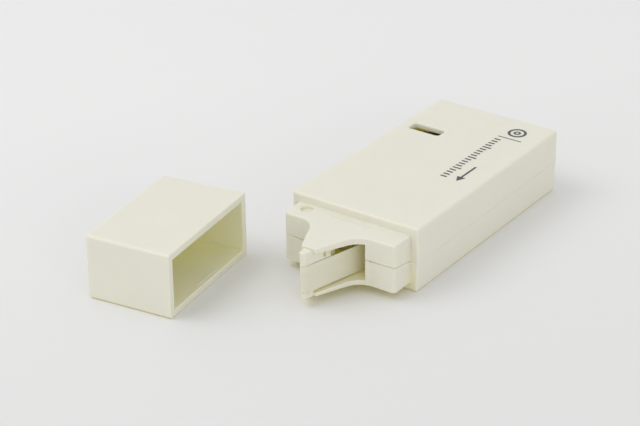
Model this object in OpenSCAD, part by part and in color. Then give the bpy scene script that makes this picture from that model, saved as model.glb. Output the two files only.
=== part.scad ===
// Correction tape roller: flat two-part casing with a stepped neck and an open nose, a rounded
// transfer blade, two reels with a gear train between them, and a loose push-on cap.
// Frame: origin at the centre of the casing's underside, +X to the nose, +Z up. Millimetres.

/* [Casing] */
// Length of the casing without its neck
case_l = 46.9; // [46:0.1:50]
// Width of the casing at its front and of the cap at its mouth
case_w = 26; // [25.6:0.1:27]
// How much each side of the casing draws in towards the back
case_taper = 0.45; // [0:0.05:0.6]
// How much the lower half draws in towards its underside at its sides and back
case_draft = 0.25; // [0:0.05:0.3]
// Height of the casing and of the cap
case_h = 12; // [11.8:0.1:13]
// Height of the parting line over the underside
part_z = 5.6; // [5:0.1:6.2]
// How much the parting line rises towards the back
part_back = 0.35; // [0:0.05:0.4]
// Thickness of the casing's side walls and floor
wall = 1.2; // [1:0.1:1.4]
// Thickness of the casing's roof
roof = 1; // [0.8:0.1:1.2]

/* [Neck and nose] */
// Step from the casing's side to the neck's side
neck_step_y = 1.5; // [1.45:0.05:1.6]
// Step from the underside up to the neck's underside
neck_step_low = 1.45; // [1.4:0.05:1.6]
// Step from the casing's top down to the neck's top
neck_step_top = 1.5; // [1.4:0.05:1.6]
// Length of the neck
neck_l = 4.9; // [4.7:0.1:5.1]
// How much the neck's far side draws in towards its front
neck_taper = 0.25; // [0:0.05:0.3]
// How much the parting line rises along the neck
part_rise = 0.65; // [0:0.05:0.8]
// Height of the fine groove round the neck at the parting line
groove_h = 0.08; // [0.04:0.02:0.12]
// Thickness of the upper nose plate at its root
upper_plate_t = 1.35; // [1.2:0.05:1.4]
// Thickness of the lower nose plate at its root
lower_plate_t = 1.05; // [1:0.05:1.15]
// How much thinner the nose plates are at their ends
plate_taper = 0.35; // [0:0.05:0.4]
// Radius of the hollow curves between neck and nose
nose_fillet = 3.8; // [3:0.1:4]
// Distance from the neck's front to the nose plates' end
nose_l = 8; // [7.6:0.1:8.2]

/* [Tape and tip] */
// Width of the correction tape
tape_w = 5; // [5:0.1:5.1]
// Modelled thickness of the tape and of its liner
tape_t = 0.1; // [0.08:0.01:0.12]
// Radius of the rounded blade edge that presses the tape down
tip_r = 0.5; // [0.45:0.05:0.7]
// Radius of the tape left on the supply reel
tape_roll_r = 9.2; // [6:0.1:9.4]
// Radius of the used liner on the take-up reel
liner_roll_r = 5; // [4:0.1:5.4]

/* [Gears] */
// Tooth module of the gear train
gear_m = 0.5; // [0.48:0.01:0.5]
// Teeth of the supply gear
supply_teeth = 36; // [36]
// Teeth of the idler gear
idler_teeth = 14; // [14]
// Teeth of the take-up gear
take_up_teeth = 16; // [16]

/* [Cap] */
// Length of the cap
cap_l = 16.6; // [16.4:0.1:18]
// Thickness of the cap's walls
cap_wall = 1.3; // [1.2:0.05:1.3]
// How much each side of the cap draws in towards its closed end
cap_taper = 0.3; // [0:0.05:0.35]
// Place of the loose cap's centre in front of the casing's centre
cap_x = 42.4; // [42:0.1:60]
// Place of the loose cap's centre beside the centre line
cap_y = -25.85; // [-60:0.05:-25]
// Turn of the loose cap from its place on the neck, in degrees
cap_turn = -82; // [-90:1:-70]

/* [Hidden] */
$fn = 96;
eps = 0.01;

// Colours
cream = "#e4e3d5";
tip_cream = "#dcdac8";
tape_cream = "#dfdcc6";
reel_white = "#f0efe9";
gear_grey = "#45464a";
liner_clear = "#e9e6da";
rubber_dark = "#3a3a3a";

// Casing and neck
front_x = case_l / 2;
inner_x = case_l / 2 - wall;
inner_y = case_w / 2 - wall;
roof_z = case_h - roof;
neck_x = front_x + neck_l;
neck_y = case_w / 2 - neck_step_y;
neck_low = neck_step_low;
neck_top = case_h - neck_step_top;
neck_wall = 1.3;
neck_corner = 0.7;
groove_deep = 0.45;
bay_low = neck_low + lower_plate_t;
bay_top = neck_top - upper_plate_t;

// Nose, which sits a little to one side of the centre line
nose_y = -0.38;
nose_x = neck_x + nose_l;
nose_half = 1.47;
nose_slope = 0.42;
nose_mouth = 6;
nose_mouth_left = 5;

// Roof window over the supply reel
window_l = 6.4;
window_w = 2.5;
window_gap = 2.25;
window_corner = 0.5;

// Small moulded marks on the neck
dimple_r = 1.15;
dimple_deep = 0.6;
dimple_ring_r = 1.45;
dimple_ring_deep = 0.04;
dimple_x = front_x + 1.55;
dimple_y = -8.75;
rib_l = 8.4;
rib_w = 0.4;
rib_h = 0.11;
rib_x = front_x + 1.18;

// Tape level, rollers and reels
tape_low = bay_low + 0.2;
tape_top = tape_low + tape_w;
tip_x = 37.85;
tip_y = -0.32;
roller_x = 20.35;
roller_y = 3.35;
roller_r = 1.3;
roller_lip = 0.45;
roller_lip_t = 0.5;
roller_bore = 0.65;
run_fit = 0.05;
shaft_fit = 0.05;

supply_x = -10.75;
centre_gap = gear_m * (supply_teeth / 2 + idler_teeth + take_up_teeth / 2);
idler_x = supply_x + gear_m * (supply_teeth + idler_teeth) / 2;
take_up_x = supply_x + centre_gap;
supply_flange_r = 10.2;
take_up_flange_r = 5.7;
flange_t = 0.7;
flange_low = tape_low - 0.2 - flange_t;
flange_top = tape_top + 0.15;
top_flange_t = 0.35;
supply_hub_r = 4;
take_up_hub_r = 3.2;
post_r = 1.5;
idler_post_r = 0.9;
post_top = roof_z - 0.1;
boss_h = 0.45;
boss_wall = 1;

// Gears lie between the upper flanges and the roof
gear_low = flange_top + top_flange_t + 0.15;
gear_top = roof_z - boss_h - 0.15;
sleeve_r = 2.5;
ring_r = 3;
ring_low = 5.4;
ring_h = 1.2;

// Pegs and sockets that hold the two case halves together
peg_r = 0.8;
peg_x = inner_x - 1.5;
peg_y = inner_y - 1.5;
peg_rise = 1.6;
socket_wall = 0.7;

// ---------- plane geometry of the tape path ----------
function unit(v) = v / norm(v);
function left_of(v) = [-v[1], v[0]];

// Normal of the outer tangent line of two circles, on the side given by s
function tangent_n(c1, r1, c2, r2, s) =
    let (d = norm(c2 - c1), u = (c2 - c1) / d, k = (r1 - r2) / d)
    k * u + s * sqrt(1 - k * k) * left_of(u);

tip_c = [tip_x, tip_y];
tape_guide_c = [roller_x, roller_y];
liner_guide_c = [roller_x, 2 * nose_y - roller_y];
supply_c = [supply_x, 0];
take_up_c = [take_up_x, 0];
tip_run_r = tip_r + run_fit;
guide_run_r = roller_r + run_fit;

function angle_of(v) = atan2(v[1], v[0]);

function arc_points(c, r, a0, a1, steps = 12) =
    [for (i = [0:steps]) let (a = a0 + (a1 - a0) * i / steps) c + r * [cos(a), sin(a)]];

// One face of the tape: round the blade's edge, over the roller and on to the roll
function run_face(guide_c, end_c, end_r, s, offset) =
    let (n_tip = tangent_n(tip_c, tip_run_r, guide_c, guide_run_r, s),
         n_end = tangent_n(guide_c, guide_run_r, end_c, end_r, s))
    concat(arc_points(tip_c, tip_run_r + offset, 0, angle_of(n_tip)),
           arc_points(guide_c, guide_run_r + offset, angle_of(n_tip), angle_of(n_end), 4),
           [end_c + (end_r + offset) * n_end]);

function reversed(points) = [for (i = [len(points) - 1:-1:0]) points[i]];

module run_outline(guide_c, end_c, end_r, s) {
    polygon(concat(run_face(guide_c, end_c, end_r, s, 0),
                   reversed(run_face(guide_c, end_c, end_r, s, tape_t))));
}

// ---------- outlines ----------
module rounded(l, w, r) {
    square([l - 2 * r, w], center = true);
    square([l, w - 2 * r], center = true);
    for (x = [-1, 1], y = [-1, 1])
        translate([x * (l / 2 - r), y * (w / 2 - r)])
            circle(r);
}

// Plan whose sides draw in towards -X by taper each, width w at its +X end
module side_drawn(l, w, taper) {
    polygon([[-l / 2, taper - w / 2], [l / 2, -w / 2], [l / 2, w / 2], [-l / 2, w / 2 - taper]]);
}

// Half of the nose with its hollow curve, on the side given by s
module nose_half_outline(s) {
    root_y = nose_half + nose_l * nose_slope;
    along = unit([1, -nose_slope]);
    reach = nose_fillet / tan((90 + atan(nose_slope)) / 2);
    foot = [neck_x, root_y + reach];
    lip = [neck_x, root_y] + reach * along;
    difference() {
        translate([0, nose_y])
            scale_y(s)
                polygon([[neck_x - 1, -eps], [nose_x, -eps], [nose_x, nose_half], lip, foot,
                         [neck_x - 1, foot[1]]]);
        translate([0, nose_y])
            scale_y(s)
                translate([neck_x + nose_fillet, foot[1]])
                    circle(nose_fillet);
    }
}

module scale_y(s) {
    mirror([0, s < 0 ? 1 : 0])
        children();
}

// Plan of the neck alone, inset all round, with round front corners
module neck_plan(inset) {
    back = front_x - wall - 2;
    front = neck_x - inset;
    corner_x = front - neck_corner;
    low_y = inset + neck_taper - neck_y;
    high_y = neck_y - inset;
    polygon([[back, inset - neck_y], [front_x, inset - neck_y], [corner_x, low_y],
             [corner_x, high_y], [back, high_y]]);
    translate([front_x, low_y + neck_corner])
        square([front - front_x, high_y - low_y - 2 * neck_corner]);
    for (y = [low_y + neck_corner, high_y - neck_corner])
        translate([corner_x, y])
            circle(neck_corner);
}

// Plan of the neck and the nose plates
module neck_outline() {
    neck_plan(0);
    nose_half_outline(1);
    nose_half_outline(-1);
}

module slab(low, top) {
    translate([0, 0, low])
        linear_extrude(top - low)
            children();
}

// ---------- casing ----------
module case_solid() {
    difference() {
        union() {
            slab(0, case_h)
                side_drawn(case_l, case_w, case_taper);
            slab(neck_low, neck_top)
                neck_outline();
            neck_ribs();
        }
        slab(wall, roof_z)
            side_drawn(2 * inner_x, 2 * inner_y, case_taper);
        neck_bay();
        nose_gap();
        dimple();
        tape_window();
    }
}

// Room in the neck behind its front wall
module neck_bay() {
    bay_y = neck_y - neck_wall;
    slab(bay_low, bay_top)
        translate([inner_x - 1, -bay_y])
            square([neck_x - neck_wall - inner_x + 1, 2 * bay_y]);
}

// Gap between the nose plates, which get thinner towards their ends
module nose_gap() {
    end_x = nose_x + 1;
    thin = plate_taper * (end_x - neck_x + neck_wall) / (nose_l + neck_wall);
    root_x = neck_x - neck_wall - eps;
    translate([0, nose_y + nose_mouth, 0])
        rotate([90, 0, 0])
            linear_extrude(nose_mouth + nose_mouth_left)
                polygon([[root_x, bay_low], [end_x, bay_low - thin],
                         [end_x, bay_top + thin], [root_x, bay_top]]);
}

// Round dimple in the neck's top with a faint ring about it
module dimple() {
    translate([dimple_x, dimple_y, neck_top - dimple_deep])
        cylinder(h = dimple_deep + 1, r = dimple_r);
    translate([dimple_x, dimple_y, neck_top - dimple_ring_deep])
        cylinder(h = 1, r = dimple_ring_r);
}

// Low ribs that the cap clicks over
module neck_ribs() {
    for (z = [neck_low - rib_h, neck_top - 0.1])
        translate([rib_x, -rib_l / 2, z])
            cube([rib_w, rib_l, rib_h + 0.1]);
}

// Window that shows how much tape is left
module tape_window() {
    translate([supply_x, -case_w / 2 + window_gap + window_l / 2, roof_z - 1])
        linear_extrude(roof + 2)
            rounded(window_w, window_l, window_corner);
}

module at_pegs() {
    for (x = [-1, 1], y = [-1, 1])
        translate([x * peg_x, y * peg_y, 0])
            children();
}

// Outline in the length and height, drawn out over the whole width
module across(points) {
    translate([0, case_w, 0])
        rotate([90, 0, 0])
            linear_extrude(2 * case_w)
                polygon(points);
}

// Everything under the parting line, which rises along the neck and towards the back
module lower_room() {
    far = 2 * case_l;
    across([[-far, -1], [far, -1], [far, part_z + part_rise], [neck_x, part_z + part_rise],
            [front_x, part_z], [-front_x, part_z + part_back], [-far, part_z + part_back]]);
}

// Everything inside the draft of the lower half, whose front stays upright
module drafted_room() {
    far = 2 * case_l;
    hull()
        for (s = [-1.1, 1.1]) {
            out = s * case_draft;
            half = case_w / 2 + out;
            back_half = half - case_taper * (case_l + out) / case_l;
            slab(part_z * (1 + s) - eps, part_z * (1 + s))
                polygon([[-front_x - out, -back_half], [front_x, -half], [far, -half],
                         [far, half], [front_x, half], [-front_x - out, back_half]]);
        }
}

module lower_case() {
    color(cream) {
        intersection() {
            case_solid();
            lower_room();
            drafted_room();
        }
        post(supply_c, post_r);
        post(take_up_c, post_r);
        post([idler_x, 0], idler_post_r);
        idler_shelf();
        roller_post(tape_guide_c);
        roller_post(liner_guide_c);
        tip_pegs();
        at_pegs()
            slab(wall - eps, part_z + peg_rise)
                circle(peg_r);
    }
}

module post(c, r) {
    translate([c[0], c[1], wall - eps])
        cylinder(h = post_top - wall + eps, r = r);
}

// Shoulder that carries the idler gear at the height of the other gears
module idler_shelf() {
    translate([idler_x, 0, wall - eps])
        cylinder(h = gear_low - 0.1 - wall, r = idler_post_r + 0.4);
}

module roller_post(c) {
    shoulder = tape_low - roller_lip_t - 0.1;
    translate([c[0], c[1], wall - eps]) {
        cylinder(h = shoulder - wall, r = roller_r);
        cylinder(h = tape_top + roller_lip_t + 0.7 - wall, r = roller_bore - shaft_fit);
    }
}

module upper_case() {
    color(cream) {
        difference() {
            case_solid();
            lower_room();
            tip_peg_holes(bay_top - 0.2, bay_top + 0.7);
            parting_groove();
        }
        for (c = [supply_c, take_up_c])
            post_boss(c, post_r);
        post_boss([idler_x, 0], idler_post_r);
        at_pegs()
            slab(part_z + part_back + 0.1, roof_z + eps)
                difference() {
                    circle(peg_r + shaft_fit + socket_wall);
                    circle(peg_r + shaft_fit);
                }
    }
}

// Fine groove round the neck where the two halves meet
module parting_groove() {
    difference() {
        across([[front_x, part_z - eps], [neck_x + 2, part_z + part_rise - eps],
                [neck_x + 2, part_z + part_rise + groove_h], [neck_x, part_z + part_rise + groove_h],
                [front_x, part_z + groove_h]]);
        slab(0, case_h)
            neck_plan(groove_deep);
    }
}

// Ring under the roof that steadies the top of a post
module post_boss(c, r) {
    translate([c[0], c[1], 0])
        slab(roof_z - boss_h, roof_z + eps)
            difference() {
                circle(r + shaft_fit + boss_wall);
                circle(r + shaft_fit);
            }
}

// ---------- transfer tip ----------
tip_root_x = 30.4;
tip_root_half = 1.15;
tip_neck_half = 0.35;
tip_low = 1.5;
tip_high = 10.2;
tip_cheek_back = nose_x + 0.1;
tip_cheek_half = 0.95;
tip_fit = 0.05;
tip_rail_h = 0.35;
tip_rail_back = 32.6;
tip_flare = 0.24;
tip_ribs_at = [[32.7, 33.6], [34.2, nose_x + 0.1]];
tip_pegs_at = [[32.3, 0.6], [34.7, 0.4]];

// Pegs of the lower case that the blade is pushed on
module tip_pegs() {
    for (p = tip_pegs_at)
        translate([p[0], tip_y, neck_low + 0.3])
            cylinder(h = bay_top + 0.6 - neck_low - 0.3, r = p[1]);
}

module tip_peg_holes(low, high) {
    for (p = tip_pegs_at)
        translate([p[0], tip_y, low])
            cylinder(h = high - low, r = p[1] + tip_fit);
}

// Blade that stands on edge between the nose plates, its front edge full height
module transfer_tip() {
    color(tip_cream)
        difference() {
            union() {
                slab(tip_low, tip_high)
                    translate(tip_c)
                        circle(tip_r);
                slab(bay_low + tip_fit, bay_top - tip_fit)
                    blade_web();
                tip_end(tip_low, tape_low - tip_fit);
                tip_end(tape_top + tip_fit, tip_high);
                slab(bay_low + tip_fit, tape_low - tip_fit)
                    blade_rail(tip_rail_back, tip_cheek_back);
                slab(tape_top + tip_fit, tape_top + tip_rail_h)
                    blade_rail(tip_rail_back, tip_cheek_back);
                tip_ribs();
            }
            tip_peg_holes(0, case_h);
        }
}

// Slim wedge from the rounded edge back to the root
module blade_web() {
    polygon([[tip_x, tip_y - tip_neck_half], [tip_x, tip_y + tip_neck_half],
             [tip_root_x, tip_y + tip_root_half], [tip_root_x, tip_y - tip_root_half]]);
}

// Wider stretch of the blade over or under the tape, which flares with the tape
module blade_rail(from, to) {
    a = tip_cheek_half + tip_flare * (tip_cheek_back - from);
    b = tip_cheek_half + tip_flare * (tip_cheek_back - to);
    translate([0, tip_y])
        polygon([[from, -a], [to, -b], [to, b], [from, a]]);
}

// Ribs between the tape and the underside of the upper plate
module tip_ribs() {
    intersection() {
        slab(tape_top + tip_fit, neck_top)
            for (r = tip_ribs_at)
                blade_rail(r[0], r[1]);
        translate([0, 0, -tip_fit])
            nose_gap();
    }
}

// Exposed end of the blade, flush with the tape round its edge, with its cheeks
module tip_end(low, high) {
    flush_r = tip_r + run_fit + tape_t;
    slab(low, high) {
        translate(tip_c)
            circle(flush_r);
        translate([0, tip_y])
            polygon([[tip_cheek_back, -tip_cheek_half], [tip_x, -flush_r],
                     [tip_x, flush_r], [tip_cheek_back, tip_cheek_half]]);
    }
}

// ---------- tape and liner between the reels ----------
module tape_run() {
    color(tape_cream)
        slab(tape_low, tape_top)
            run_outline(tape_guide_c, supply_c, tape_roll_r + run_fit, -1);
}

module liner_run() {
    color(liner_clear)
        slab(tape_low, tape_top)
            run_outline(liner_guide_c, take_up_c, liner_roll_r + run_fit, 1);
}

// Roller with a lip at each end, turning on a post of the lower case
module roller(c) {
    color(reel_white)
        translate([c[0], c[1], tape_low - roller_lip_t])
            difference() {
                union() {
                    cylinder(h = tape_w + 2 * roller_lip_t, r = roller_r);
                    for (z = [0, tape_w + roller_lip_t + 0.05])
                        translate([0, 0, z])
                            cylinder(h = roller_lip_t - 0.05, r = roller_r + roller_lip);
                }
                translate([0, 0, -1])
                    cylinder(h = tape_w + 4, r = roller_bore);
            }
}

module tape_roller() {
    roller(tape_guide_c);
}

module liner_roller() {
    roller(liner_guide_c);
}

// ---------- reels ----------
// Hub with its lower flange, bored for what turns inside it
module reel(c, hub_r, flange_r, bore_r) {
    translate([c[0], c[1], 0])
        difference() {
            union() {
                slab(flange_low, flange_low + flange_t)
                    circle(flange_r);
                slab(flange_low, flange_top)
                    circle(hub_r);
            }
            slab(0, case_h)
                circle(bore_r);
        }
}

module washer(c, outer, bore, low, top) {
    translate([c[0], c[1], 0])
        slab(low, top)
            difference() {
                circle(outer);
                circle(bore);
            }
}

module supply_reel() {
    color(reel_white)
        reel(supply_c, supply_hub_r, supply_flange_r, ring_r + shaft_fit);
}

module supply_flange() {
    color(reel_white)
        difference() {
            washer(supply_c, supply_flange_r, ring_r + shaft_fit, flange_top, flange_top + top_flange_t);
            for (a = [0:60:300])
                translate([supply_x, 0, flange_top - 1])
                    rotate(a)
                        translate([(supply_hub_r + supply_flange_r) / 2, 0])
                            cylinder(h = 3, r = 2.1);
        }
}

module tape_roll() {
    color(tape_cream)
        washer(supply_c, tape_roll_r, supply_hub_r, tape_low, tape_top);
}

module take_up_reel() {
    color(reel_white)
        reel(take_up_c, take_up_hub_r, take_up_flange_r, post_r + shaft_fit);
}

module take_up_flange() {
    color(reel_white)
        washer(take_up_c, take_up_flange_r, post_r + shaft_fit, flange_top, flange_top + top_flange_t);
}

module liner_roll() {
    color(liner_clear)
        washer(take_up_c, liner_roll_r, take_up_hub_r, tape_low, tape_top);
}

// ---------- gears ----------
tip_part = 0.11;
flank_part = 0.22;
root_part = 0.34;

// Outline of a gear: four corners and the pitch points of each tooth
module gear_outline(teeth) {
    pitch = 360 / teeth;
    pitch_r = gear_m * teeth / 2;
    outer = pitch_r + 0.85 * gear_m;
    root = pitch_r - 1.2 * gear_m;
    corners = [[root, -root_part], [pitch_r, -flank_part], [outer, -tip_part],
               [outer, tip_part], [pitch_r, flank_part], [root, root_part]];
    polygon([for (i = [0:teeth - 1], p = corners)
                 p[0] * [cos((i + p[1]) * pitch), sin((i + p[1]) * pitch)]]);
}

module gear_disc(c, teeth, turn, bore_r) {
    translate([c[0], c[1], 0])
        difference() {
            slab(gear_low, gear_top)
                rotate(turn)
                    gear_outline(teeth);
            slab(0, case_h)
                circle(bore_r);
        }
}

module supply_gear() {
    spoke_holes = 6;
    rim_r = gear_m * supply_teeth / 2 - 1.2 * gear_m - 0.9;
    hole_r = 1.9;
    color(gear_grey) {
        difference() {
            gear_disc(supply_c, supply_teeth, 0, post_r + shaft_fit);
            for (i = [0:spoke_holes - 1])
                translate([supply_x, 0, gear_low - 1])
                    rotate((i + 0.5) * 360 / spoke_holes)
                        translate([rim_r - hole_r, 0])
                            cylinder(h = gear_top, r = hole_r);
        }
        washer(supply_c, sleeve_r, post_r + shaft_fit, ring_low - 1, gear_low + eps);
    }
}

// Friction ring between the gear's sleeve and the supply reel's bore
module clutch_ring() {
    color(rubber_dark)
        washer(supply_c, ring_r, sleeve_r, ring_low, ring_low + ring_h);
}

module idler_gear() {
    color(gear_grey)
        gear_disc([idler_x, 0], idler_teeth, 180 / idler_teeth, idler_post_r + shaft_fit);
}

module take_up_gear() {
    color(gear_grey)
        gear_disc(take_up_c, take_up_teeth, 0, post_r + shaft_fit);
}

// ---------- cap ----------
cap_rib_x = 0.75;
cap_rib_l = 6.4;
cap_rib_h = 0.14;

// Plan of the cap between two places along it, width w at its mouth
module cap_plan(from, to, w) {
    a = w / 2 - cap_taper * from / cap_l;
    b = w / 2 - cap_taper * to / cap_l;
    polygon([[from, -a], [to, -b], [to, b], [from, a]]);
}

// The cap with its mouth at x = 0, open towards -X, as it sits on the neck
module cap_shape() {
    difference() {
        slab(0, case_h)
            cap_plan(0, cap_l, case_w);
        slab(cap_wall, case_h - cap_wall)
            cap_plan(-1, cap_l - cap_wall, case_w - 2 * cap_wall);
    }
    for (z = [cap_wall - 0.1, case_h - cap_wall - cap_rib_h])
        translate([cap_rib_x, -cap_rib_l / 2, z])
            cube([rib_w, cap_rib_l, cap_rib_h + 0.1]);
}

module cap() {
    color(cream)
        translate([cap_x, cap_y, 0])
            rotate([0, 0, cap_turn])
                translate([-cap_l / 2, 0, 0])
                    cap_shape();
}

upper_case();
lower_case();
transfer_tip();
tape_run();
liner_run();
tape_roller();
liner_roller();
supply_reel();
supply_flange();
tape_roll();
supply_gear();
clutch_ring();
idler_gear();
take_up_reel();
take_up_flange();
take_up_gear();
liner_roll();
cap();
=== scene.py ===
"""Looks of the correction tape roller.

Rounded moulded shells, printed marks and tape, on a pale studio floor under soft light.
"""

import math

import bmesh
import bpy
from mathutils import Matrix, Vector


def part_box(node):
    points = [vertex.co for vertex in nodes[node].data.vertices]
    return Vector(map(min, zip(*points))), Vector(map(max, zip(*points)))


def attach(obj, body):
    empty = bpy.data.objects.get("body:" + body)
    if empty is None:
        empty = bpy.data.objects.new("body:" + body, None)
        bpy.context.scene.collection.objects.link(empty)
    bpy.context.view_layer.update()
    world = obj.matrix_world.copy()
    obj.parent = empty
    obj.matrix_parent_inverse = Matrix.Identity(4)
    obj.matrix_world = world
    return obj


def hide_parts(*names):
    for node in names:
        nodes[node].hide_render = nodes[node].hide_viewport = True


MM = 0.001

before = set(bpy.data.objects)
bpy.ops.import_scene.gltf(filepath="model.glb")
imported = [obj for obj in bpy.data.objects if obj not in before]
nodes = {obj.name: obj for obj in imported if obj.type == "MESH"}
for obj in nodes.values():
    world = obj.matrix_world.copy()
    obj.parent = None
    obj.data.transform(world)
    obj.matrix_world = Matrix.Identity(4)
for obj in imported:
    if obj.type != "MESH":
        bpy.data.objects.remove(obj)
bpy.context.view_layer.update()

# Sizes that the looks repeat from the design, in millimetres
WALL = 1.2
CASE_TAPER = 0.45
CASE_DRAFT = 0.25
PARTING_HEIGHT = 5.6
PARTING_RISE = 0.65
PARTING_BACK = 0.35
GROOVE = 0.08
NECK_LOW = 1.45
NECK_STEP = 1.5
NECK_LENGTH = 4.9
NECK_WALL = 1.3
DIMPLE = Vector((25.0, -8.75))
DIMPLE_R = 1.15
CAP_TURN = math.radians(-82)
CAP_WALL = 1.3

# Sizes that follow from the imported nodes, in millimetres
CASE_LOW, CASE_HIGH = (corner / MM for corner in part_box("upper_case"))
CASE_FRONT = -CASE_LOW.x
CASE_SIDE = CASE_HIGH.y
CASE_TOP = CASE_HIGH.z
PARTING_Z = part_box("lower_case")[0].z / MM + PARTING_HEIGHT
NECK_TOP = CASE_TOP - NECK_STEP
NOSE_X = CASE_HIGH.x
TIP_LOW, TIP_HIGH = (corner.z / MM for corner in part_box("transfer_tip"))
CAP_ALONG = Vector((math.cos(CAP_TURN), math.sin(CAP_TURN), 0))
CAP_ACROSS = Vector((-math.sin(CAP_TURN), math.cos(CAP_TURN), 0))
cap_reach = [(v.co / MM).dot(CAP_ALONG) for v in nodes["cap"].data.vertices]
cap_width = [(v.co / MM).dot(CAP_ACROSS) for v in nodes["cap"].data.vertices]
CAP_MOUTH, CAP_END = min(cap_reach), max(cap_reach)
CAP_MIDDLE = (min(cap_width) + max(cap_width)) / 2

# Radii of the moulded edges, in millimetres
CASE_RADIUS = 0.38
PARTING_RADIUS = 0.1
WINDOW_RADIUS = 0.35
NECK_RADIUS = 0.24
DIMPLE_RADIUS = 0.18
NOSE_END_RADIUS = 0.3
MOUTH_RADIUS = 0.15
CAP_END_RADIUS = 0.8
CAP_EDGE_RADIUS = 0.5
CAP_HOLLOW_RADIUS = 0.35
CAP_MOUTH_RADIUS = 0.2
TIP_RADIUS = 0.15
WIDEST_RADIUS = 0.8

# Limits that tell edges and faces apart, in millimetres. A limit round a detail, such as
# the dimple or a rib, is a little larger than the detail.
NEAR = 0.03
LEVEL = 0.01
DIMPLE_BAND = 0.1
DIMPLE_LIMIT = 2
UPPER_FACE = 0.5
UPRIGHT = 0.3
NOSE_MOUTH = 4.4
CAP_RIB_LIMIT_ALONG = 1.2
CAP_RIB_LIMIT_ACROSS = 4
CAP_RIB_FOOT = 2
CAP_LONG_EDGE = 3

# Points this close to each other are one, in metres
WELD = 0.5e-6

# Angles between faces: flat enough to join, the bend where the draft begins, a corner
# to round, and a corner that stays sharp in the shading
FLAT = math.radians(0.5)
DRAFT_BEND = math.radians(1), math.radians(5)
CORNER = math.radians(20)
SHARP = math.radians(32)


# ---------- helpers ----------
def link(name, mesh, material, body):
    piece = bpy.data.objects.new(name, mesh)
    bpy.context.scene.collection.objects.link(piece)
    piece.data.materials.append(material)
    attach(piece, body)
    return piece


def corner_angle(edge):
    return edge.calc_face_angle(0.0) if len(edge.link_faces) == 2 else 0.0


def is_draft_bend(edge):
    """The faint outer edge where the draft of the lower half begins."""
    level = all(abs(v.co.z / MM - PARTING_Z) < LEVEL for v in edge.verts)
    return level and DRAFT_BEND[0] < corner_angle(edge) < DRAFT_BEND[1]


def solid_of(node):
    """The CAD node's mesh, welded, with its flat faces made whole."""
    bm = bmesh.new()
    bm.from_mesh(nodes[node].data)
    bmesh.ops.remove_doubles(bm, verts=bm.verts, dist=WELD)
    bmesh.ops.dissolve_limit(
        bm, angle_limit=FLAT, verts=bm.verts, edges=bm.edges, delimit=set()
    )
    if node == "lower_case":
        bends = [edge for edge in bm.edges if is_draft_bend(edge)]
        bmesh.ops.dissolve_edges(bm, edges=bends, use_verts=True)
    return bm


def round_off(piece, segments):
    """Rounds each edge by its weight and keeps the large faces evenly shaded."""
    rounding = piece.modifiers.new("rounding", "BEVEL")
    rounding.limit_method = "WEIGHT"
    rounding.width = WIDEST_RADIUS * MM
    rounding.segments = segments
    rounding.offset_type = "OFFSET"
    rounding.use_clamp_overlap = False
    evening = piece.modifiers.new("even_faces", "WEIGHTED_NORMAL")
    evening.keep_sharp = True
    evening.weight = 80


def solid_piece(node, name, material, body, radius_of, segments=4, hollow=None):
    """A copy of the CAD node with the rounded edges of a moulding.

    radius_of(middle of the edge in mm, edge) gives each sharp edge its radius in mm, or 0.
    hollow is a material with painted shade and in_hollow(middle of the face in mm), which says
    what it covers.
    """
    bm = solid_of(node)
    weights = bm.edges.layers.float.new("bevel_weight_edge")
    for edge in bm.edges:
        if corner_angle(edge) > CORNER:
            middle = (edge.verts[0].co + edge.verts[1].co) / (2 * MM)
            edge[weights] = radius_of(middle, edge) / WIDEST_RADIUS
    mesh = bpy.data.meshes.new(name)
    piece = link(name, mesh, material, body)
    if hollow:
        painted_shade_material, in_hollow = hollow
        mesh.materials.append(painted_shade_material)
        for face in bm.faces:
            face.material_index = int(in_hollow(face.calc_center_median() / MM))
    bm.to_mesh(mesh)
    bm.free()
    mesh.polygons.foreach_set("use_smooth", [True] * len(mesh.polygons))
    mesh.set_sharp_from_angle(angle=SHARP)
    round_off(piece, segments)
    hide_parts(node)
    return piece


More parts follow.
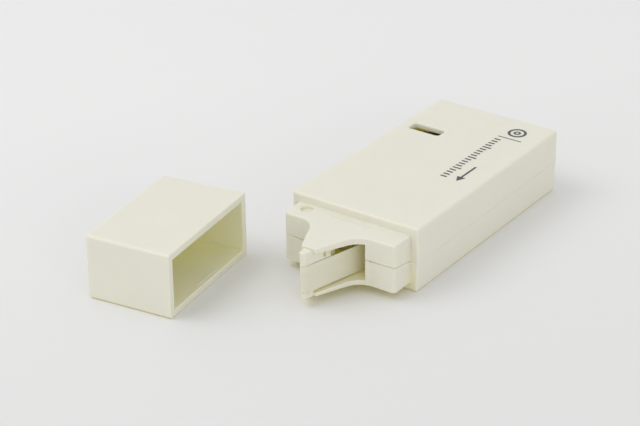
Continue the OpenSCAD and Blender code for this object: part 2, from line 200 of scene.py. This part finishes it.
# ---------- materials ----------
class Shader:
    """A Principled material with its node tree at hand. Noise scales are per metre."""

    RECESS_REACH = 12 * MM

    def __init__(self, name, base, roughness, specular=0.5):
        self.material = bpy.data.materials.new(name)
        self.material.use_nodes = True
        self.tree = self.material.node_tree
        self.bsdf = self.tree.nodes["Principled BSDF"]
        self.bsdf.inputs["Base Color"].default_value = (*base, 1)
        self.bsdf.inputs["Roughness"].default_value = roughness
        self.bsdf.inputs["Specular IOR Level"].default_value = specular
        self.place = self.node("ShaderNodeTexCoord").outputs["Object"]

    def node(self, kind, **values):
        made = self.tree.nodes.new(kind)
        for key, value in values.items():
            setattr(made, key, value)
        return made

    def wire(self, source, target):
        self.tree.links.new(source, target)

    def noise(self, scale, detail=3.0, roughness=0.5):
        made = self.node("ShaderNodeTexNoise")
        made.inputs["Scale"].default_value = scale
        made.inputs["Detail"].default_value = detail
        made.inputs["Roughness"].default_value = roughness
        self.wire(self.place, made.inputs["Vector"])
        return made.outputs["Fac"]

    def ramp(self, value, low, high, start=0.3, end=0.7):
        made = self.node("ShaderNodeValToRGB")
        stops = made.color_ramp.elements
        for stop, position, colour in zip(stops, (start, end), (low, high)):
            stop.position = position
            stop.color = (*colour, 1)
        self.wire(value, made.inputs["Fac"])
        return made.outputs["Color"]

    def shades(self, value, colour, darkest):
        """The colour, in places down to its darkest share."""
        return self.ramp(value, tuple(darkest * c for c in colour), colour)

    def paint(self, colour):
        self.wire(colour, self.bsdf.inputs["Base Color"])

    def span(self, value, from_low, from_high, to_low, to_high):
        made = self.node("ShaderNodeMapRange")
        made.inputs["From Min"].default_value = from_low
        made.inputs["From Max"].default_value = from_high
        made.inputs["To Min"].default_value = to_low
        made.inputs["To Max"].default_value = to_high
        self.wire(value, made.inputs["Value"])
        return made.outputs["Result"]

    def blend(self, value, first, second):
        made = self.node("ShaderNodeMix", data_type="RGBA")
        self.wire(value, made.inputs["Factor"])
        self.wire(first, made.inputs["A"])
        self.wire(second, made.inputs["B"])
        return made.outputs["Result"]

    def openness(self, low, high):
        """0 deep in a recess, 1 in the open."""
        depth = self.node("ShaderNodeAmbientOcclusion")
        depth.samples = 8
        depth.inputs["Distance"].default_value = self.RECESS_REACH
        return self.span(depth.outputs["AO"], low, high, 0.0, 1.0)

    def paint_glow(self, openness, light):
        """Painted light: an emission in recesses, strongest deepest in, standing in for the faint
        light that comes into a recess by the thin walls.
        """
        self.bsdf.inputs["Emission Color"].default_value = (*light, 1)
        hidden = self.span(openness, 0.0, 1.0, 1.0, 0.0)
        self.wire(hidden, self.bsdf.inputs["Emission Strength"])

    def vary_roughness(self, value, low, high):
        self.wire(self.span(value, 0.3, 0.7, low, high), self.bsdf.inputs["Roughness"])

    def bump(self, value, distance, strength):
        made = self.node("ShaderNodeBump")
        made.inputs["Distance"].default_value = distance
        made.inputs["Strength"].default_value = strength
        self.wire(value, made.inputs["Height"])
        self.wire(made.outputs["Normal"], self.bsdf.inputs["Normal"])


def cream_plastic(name, in_open, painted_recess_shade, roughness, painted_recess_light, open_from=0.5):
    """Moulded cream plastic: a fine spark-eroded grain, faint flow shades and a soft sheen.

    Recesses get painted shade and painted light: an occlusion mask blends in a deeper, yellower
    colour and adds a faint emission, standing in for shade and for light that has crossed the
    plastic.
    """
    shader = Shader(name, in_open, roughness, specular=0.4)
    openness = shader.openness(0.05, open_from)
    flow = shader.noise(90, detail=2)
    light = shader.shades(flow, in_open, darkest=0.985)
    # Painted shade: the deeper, yellower colour that recesses take
    deep = shader.shades(flow, painted_recess_shade, darkest=0.98)
    shader.paint(shader.blend(openness, deep, light))
    # Painted light: recesses give off a faint emission
    shader.paint_glow(openness, painted_recess_light)
    shader.vary_roughness(shader.noise(700), roughness - 0.05, roughness + 0.06)
    shader.bump(shader.noise(5200, detail=2, roughness=0.6), distance=4e-6, strength=0.35)
    shader.bsdf.inputs["Subsurface Weight"].default_value = 0.25
    shader.bsdf.inputs["Subsurface Radius"].default_value = (1.0, 0.85, 0.4)
    shader.bsdf.inputs["Subsurface Scale"].default_value = 1.2 * MM
    return shader.material


def plain_plastic(name, base, roughness):
    """Smooth moulded plastic of the inner parts."""
    shader = Shader(name, base, roughness)
    shader.paint(shader.shades(shader.noise(150), base, darkest=0.95))
    shader.bump(shader.noise(2500), distance=4e-6, strength=0.3)
    return shader.material


def tape_coating(name, base, roughness, across):
    """Dry coating on thin tape: streaks along its run, very slightly uneven."""
    shader = Shader(name, base, roughness, specular=0.3)
    stretch = shader.node("ShaderNodeMapping")
    stretch.inputs["Scale"].default_value = (1, 1, across)
    shader.wire(shader.place, stretch.inputs["Vector"])
    shader.place = stretch.outputs["Vector"]
    shader.paint(shader.shades(shader.noise(240, detail=4), base, darkest=0.965))
    shader.bump(shader.noise(900, detail=4), distance=6e-6, strength=0.5)
    return shader.material


def rubber():
    shader = Shader("clutch_rubber", (0.03, 0.03, 0.032), 0.7, specular=0.3)
    shader.paint(shader.ramp(shader.noise(800), (0.025, 0.025, 0.027), (0.05, 0.05, 0.052)))
    shader.bump(shader.noise(3000), distance=1e-5, strength=0.5)
    return shader.material


def printing_ink():
    shader = Shader("ink", (0.09, 0.095, 0.09), 0.5, specular=0.3)
    patchy = shader.noise(3000, detail=2)
    shader.paint(shader.ramp(patchy, (0.07, 0.074, 0.07), (0.11, 0.115, 0.11)))
    return shader.material


# Painted light: colours that recesses give off, the second for the cap's hollow
CLOSE_PAINTED_LIGHT = (0.08, 0.068, 0.006)
HOLLOW_PAINTED_LIGHT = (0.07, 0.07, 0.024)
# Each plastic: its own colour, then the painted shade colour of its recesses
shell_plastic = cream_plastic(
    "shell_plastic", (0.79, 0.775, 0.672), (0.80, 0.76, 0.50), 0.42, CLOSE_PAINTED_LIGHT
)
# Painted shade: the cap's hollow is a deeper, yellower copy of the shell plastic
painted_shade_plastic = cream_plastic(
    "painted_shade_plastic", (0.80, 0.785, 0.62), (0.83, 0.805, 0.50), 0.42, HOLLOW_PAINTED_LIGHT, open_from=0.75
)
tip_plastic = cream_plastic(
    "tip_plastic", (0.80, 0.78, 0.66), (0.76, 0.72, 0.50), 0.38, CLOSE_PAINTED_LIGHT
)
reel_plastic = plain_plastic("reel_plastic", (0.86, 0.86, 0.82), 0.4)
gear_plastic = plain_plastic("gear_plastic", (0.06, 0.06, 0.055), 0.38)
tape_cream = tape_coating("tape_cream", (0.76, 0.74, 0.60), 0.55, across=6)
liner_paper = tape_coating("liner_paper", (0.80, 0.78, 0.70), 0.3, across=3)
clutch_rubber = rubber()
ink = printing_ink()


# ---------- casing ----------
def draft(z):
    """How far the lower half has drawn in at this height."""
    return CASE_DRAFT * max(0.0, 1 - z / PARTING_Z)


def side_y(x, z):
    """Half width of the casing at x and z."""
    return CASE_SIDE - CASE_TAPER * (CASE_FRONT - x) / (2 * CASE_FRONT) - draft(z)


def parting_z(x):
    """Height of the parting line, which rises along the neck and towards the back."""
    along = min(1.0, max(0.0, (x - CASE_FRONT) / NECK_LENGTH))
    back = max(0.0, (CASE_FRONT - x) / (2 * CASE_FRONT))
    return PARTING_Z + PARTING_RISE * along + PARTING_BACK * back


def behind_front(p):
    return p.x < CASE_FRONT + NEAR


def on_casing_walls(p):
    on_front = abs(p.x - CASE_FRONT) < NEAR
    on_back = abs(p.x + CASE_FRONT - draft(p.z)) < NEAR
    on_side = behind_front(p) and abs(abs(p.y) - side_y(p.x, p.z)) < NEAR
    return on_front or on_back or on_side


def in_neck_bay(p):
    bay_x = CASE_FRONT + NECK_LENGTH - NECK_WALL
    bay_y = CASE_SIDE - NECK_STEP - NECK_WALL
    return p.x < bay_x + NEAR and abs(p.y) < bay_y + NEAR


def on_window_rim(p):
    inside = abs(p.x) < CASE_FRONT - WALL and abs(p.y) < CASE_SIDE - WALL
    return inside and abs(p.z - CASE_TOP) < NEAR


def parting_radius(p, edge):
    """The parting line's outer edges. On the casing only the lower half's edge is softened."""
    if not behind_front(p):
        return 0 if in_neck_bay(p) else PARTING_RADIUS
    highest = max(face.calc_center_median().z / MM for face in edge.link_faces)
    of_upper_half = highest > parting_z(p.x) + UPPER_FACE
    return PARTING_RADIUS if on_casing_walls(p) and not of_upper_half else 0


def neck_radius(p, edge):
    """Edges of the neck, its dimple, the nose plates and the rims of the gap between them."""
    from_dimple = (p.xy - DIMPLE).length
    if from_dimple < DIMPLE_R + DIMPLE_BAND and p.z > NECK_TOP - DIMPLE_BAND:
        return DIMPLE_RADIUS
    if abs(p.z - NECK_TOP) < NEAR or abs(p.z - NECK_LOW) < NEAR:
        return NECK_RADIUS if from_dimple > DIMPLE_LIMIT else 0
    if not NECK_LOW < p.z < NECK_TOP:
        return 0
    upright = abs(edge.verts[0].co.z - edge.verts[1].co.z) > UPRIGHT * MM
    if upright and p.x > NOSE_X - NEAR:
        return NOSE_END_RADIUS
    in_mouth = p.x > CASE_FRONT + NOSE_MOUTH
    return MOUTH_RADIUS if in_mouth else 0


def casing_radius(p, edge):
    """Radius of each outer edge of the casing's halves."""
    if not edge.is_convex:
        return 0
    if -NEAR < p.z - parting_z(p.x) < GROOVE + NEAR:
        return parting_radius(p, edge)
    if on_window_rim(p):
        return WINDOW_RADIUS
    if behind_front(p):
        return CASE_RADIUS if on_casing_walls(p) else 0
    return neck_radius(p, edge)


for half in ("upper_case", "lower_case"):
    solid_piece(half, half + "_shell", shell_plastic, "case", casing_radius)


# ---------- cap ----------
def near_rib(edge):
    """The click ribs' feet run across, close behind the mouth."""
    ends = [(v.co / MM).dot(CAP_ALONG) for v in edge.verts]
    return max(ends) < CAP_MOUTH + CAP_RIB_FOOT


def cap_radius(p, edge):
    """Soft closed end, firmer long edges, a crisp mouth and hollow inner corners."""
    along = p.dot(CAP_ALONG)
    if along < CAP_MOUTH + NEAR:
        return CAP_MOUTH_RADIUS
    if along > CAP_END - NEAR:
        return CAP_END_RADIUS
    if edge.is_convex:
        return CAP_EDGE_RADIUS if p.z < NEAR or p.z > CASE_TOP - NEAR else 0
    long = edge.calc_length() > CAP_LONG_EDGE * MM
    return CAP_HOLLOW_RADIUS if long and not near_rib(edge) else 0


def in_cap(p):
    """On the walls of the cap's hollow, but not on its click ribs: the faces that get painted
    shade.
    """
    along = p.dot(CAP_ALONG)
    across = abs(p.dot(CAP_ACROSS) - CAP_MIDDLE)
    off_walls = CAP_WALL + NEAR < p.z < CASE_TOP - CAP_WALL - NEAR
    by_rib = along < CAP_MOUTH + CAP_RIB_LIMIT_ALONG and across < CAP_RIB_LIMIT_ACROSS
    if off_walls and by_rib:
        return False
    in_length = CAP_MOUTH + NEAR < along < CAP_END - CAP_WALL + NEAR
    in_width = across < CASE_SIDE - CAP_WALL + NEAR
    return in_length and in_width and NEAR < p.z < CASE_TOP - NEAR


solid_piece(
    "cap", "cap_shell", shell_plastic, "cap", cap_radius, hollow=(painted_shade_plastic, in_cap)
)


# ---------- blade ----------
def tip_radius(p, edge):
    """The blade's exposed ends are softened."""
    at_end = abs(p.z - TIP_LOW) < NEAR or abs(p.z - TIP_HIGH) < NEAR
    return TIP_RADIUS if edge.is_convex and at_end else 0


solid_piece(
    "transfer_tip", "transfer_blade", tip_plastic, "case", tip_radius, segments=3
)


# ---------- printed marks on the roof ----------
class Marks:
    """Flat printed shapes on the roof, in millimetres, gathered in one mesh."""

    INK_HEIGHT = 0.012
    CLOSE = 1e-7

    def __init__(self):
        self.bm = bmesh.new()

    def outline(self, points):
        level = CASE_TOP + self.INK_HEIGHT
        self.bm.faces.new([self.bm.verts.new((x * MM, y * MM, level * MM)) for x, y in points])

    def bar(self, x, y, length, width):
        a, b = length / 2, width / 2
        self.outline([(x - a, y - b), (x + a, y - b), (x + a, y + b), (x - a, y + b)])

    def ring(self, x, y, outer, inner, steps=36):
        for i in range(steps):
            a0, a1 = (2 * math.pi * k / steps for k in (i, i + 1))
            corners = (inner, a0), (outer, a0), (outer, a1), (inner, a1)
            self.outline([(x + r * math.cos(a), y + r * math.sin(a)) for r, a in corners])

    def piece(self, name, material, body):
        bmesh.ops.remove_doubles(self.bm, verts=self.bm.verts, dist=self.CLOSE)
        solid = bmesh.ops.extrude_face_region(self.bm, geom=self.bm.faces[:])
        for item in solid["geom"]:
            if isinstance(item, bmesh.types.BMVert):
                item.co.z = (CASE_TOP - self.INK_HEIGHT / 2) * MM
        bmesh.ops.recalc_face_normals(self.bm, faces=self.bm.faces)
        mesh = bpy.data.meshes.new(name)
        self.bm.to_mesh(mesh)
        self.bm.free()
        marks = link(name, mesh, material, body)
        return marks


def printed_marks():
    """A millimetre scale, an arrow to the nose, a thin rule and a picture of the reel."""
    marks = Marks()
    stroke = 0.4

    ticks, first_x, foot_y = 19, 3.85, 4.82
    for i in range(ticks):
        tall = 1.7 if i % 5 == 4 else 1.25
        marks.bar(first_x - i, foot_y + tall / 2, stroke, tall)

    shaft_y, tail_x, neck_x, head_x, barb = 8.32, -2.2, 2.6, 4.3, 0.85
    marks.bar((tail_x + neck_x) / 2, shaft_y, neck_x - tail_x, stroke)
    marks.outline([(head_x, shaft_y), (neck_x, shaft_y + barb), (neck_x, shaft_y - barb)])

    marks.bar(-15.5, 7.2, length=0.24, width=4.8)
    reel_x, reel_y = -18.35, 7.1
    marks.ring(reel_x, reel_y, outer=1.75, inner=1.25)
    marks.ring(reel_x, reel_y, outer=0.7, inner=0.3)
    return marks.piece("printed_marks", ink, "case")


printed_marks()

# ---------- carried-over nodes ----------
FINISH = {
    "tape_run": tape_cream,
    "liner_run": liner_paper,
    "tape_roller": reel_plastic,
    "liner_roller": reel_plastic,
    "supply_reel": reel_plastic,
    "supply_flange": reel_plastic,
    "tape_roll": tape_cream,
    "supply_gear": gear_plastic,
    "clutch_ring": clutch_rubber,
    "idler_gear": gear_plastic,
    "take_up_reel": reel_plastic,
    "take_up_flange": reel_plastic,
    "take_up_gear": gear_plastic,
    "liner_roll": liner_paper,
}
for name, material in FINISH.items():
    mesh = nodes[name].data
    mesh.materials.clear()
    mesh.materials.append(material)

# ---------- camera, floor and light ----------
AIM = Vector((18.104, -11.04, 6.0)) * MM
CAMERA_AZIMUTH = math.radians(35.753)
CAMERA_HEIGHT = math.radians(27.167)
CAMERA_ROLL = math.radians(-0.76)
CAMERA_DISTANCE = 394.67 * MM
CAMERA_LENS = 126.617
CAMERA_SENSOR = 36
CAMERA_CLIP = 0.01

FLOOR_HALF = 3.0
FLOOR_DROP = -0.00002
# Painted light: the floor colour runs from brighter at the back to darker at the front
FLOOR_BACK = (0.835, 0.835, 0.835)
FLOOR_FRONT = (0.765, 0.765, 0.765)
FLOOR_PAINTED_FALLOFF = -0.09, 0.11

SKY_STRENGTH = 0.775
LIGHT_DISTANCE = 0.9
KEY_FROM = Vector((0.36, -0.46, 0.81))
FILL_FROM = Vector((0.50, 0.80, 0.30))
FILL_COLOUR = (1.0, 0.985, 0.89)


def camera():
    data = bpy.data.cameras.new("camera")
    data.sensor_width = CAMERA_SENSOR
    data.lens = CAMERA_LENS
    data.clip_start = CAMERA_CLIP
    obj = bpy.data.objects.new("camera", data)
    bpy.context.scene.collection.objects.link(obj)
    around, up = CAMERA_AZIMUTH, CAMERA_HEIGHT
    x, y = math.cos(around) * math.cos(up), math.sin(around) * math.cos(up)
    towards = Vector((x, y, math.sin(up)))
    level = (-towards).to_track_quat("-Z", "Y").to_matrix().to_4x4()
    roll = Matrix.Rotation(CAMERA_ROLL, 4, "Z")
    obj.matrix_world = Matrix.Translation(AIM + towards * CAMERA_DISTANCE) @ level @ roll
    bpy.context.scene.camera = obj


def floor():
    """Pale paper with painted light: its colour is a little brighter away from the camera."""
    shader = Shader("floor_paper", (0.80, 0.80, 0.80), 0.7, specular=0.2)
    split = shader.node("ShaderNodeSeparateXYZ")
    shader.wire(shader.place, split.inputs["Vector"])
    reach = shader.node("ShaderNodeMath", operation="ADD")
    shader.wire(split.outputs["X"], reach.inputs[0])
    shader.wire(split.outputs["Y"], reach.inputs[1])
    painted_falloff = shader.span(reach.outputs[0], *FLOOR_PAINTED_FALLOFF, 0.0, 1.0)
    shader.paint(shader.ramp(painted_falloff, FLOOR_BACK, FLOOR_FRONT, 0.0, 1.0))
    shader.bump(shader.noise(1500), distance=1e-5, strength=0.2)

    corners = [
        (x * FLOOR_HALF, y * FLOOR_HALF, FLOOR_DROP)
        for x, y in ((-1, -1), (1, -1), (1, 1), (-1, 1))
    ]
    mesh = bpy.data.meshes.new("floor")
    mesh.from_pydata(corners, [], [(0, 1, 2, 3)])
    mesh.materials.append(shader.material)
    obj = bpy.data.objects.new("floor", mesh)
    bpy.context.scene.collection.objects.link(obj)


def soft_light(name, direction, size, power, colour=(1, 1, 1)):
    """A soft box at the light distance, turned to what the camera looks at."""
    data = bpy.data.lights.new(name, "AREA")
    data.shape = "RECTANGLE"
    data.size, data.size_y = size
    data.energy = power
    data.color = colour
    obj = bpy.data.objects.new(name, data)
    bpy.context.scene.collection.objects.link(obj)
    place = AIM + LIGHT_DISTANCE * direction
    obj.location = place
    obj.rotation_euler = (AIM - place).to_track_quat("-Z", "Y").to_euler()


def sky():
    made = bpy.data.worlds.new("studio")
    made.use_nodes = True
    background = made.node_tree.nodes["Background"]
    background.inputs["Color"].default_value = (1, 1, 1, 1)
    background.inputs["Strength"].default_value = SKY_STRENGTH
    bpy.context.scene.world = made


camera()
floor()
sky()
soft_light("key", KEY_FROM, size=(0.6, 0.6), power=2.1)
soft_light("fill", FILL_FROM, size=(0.5, 0.3), power=0.8, colour=FILL_COLOUR)
bpy.context.scene.view_settings.view_transform = "Standard"
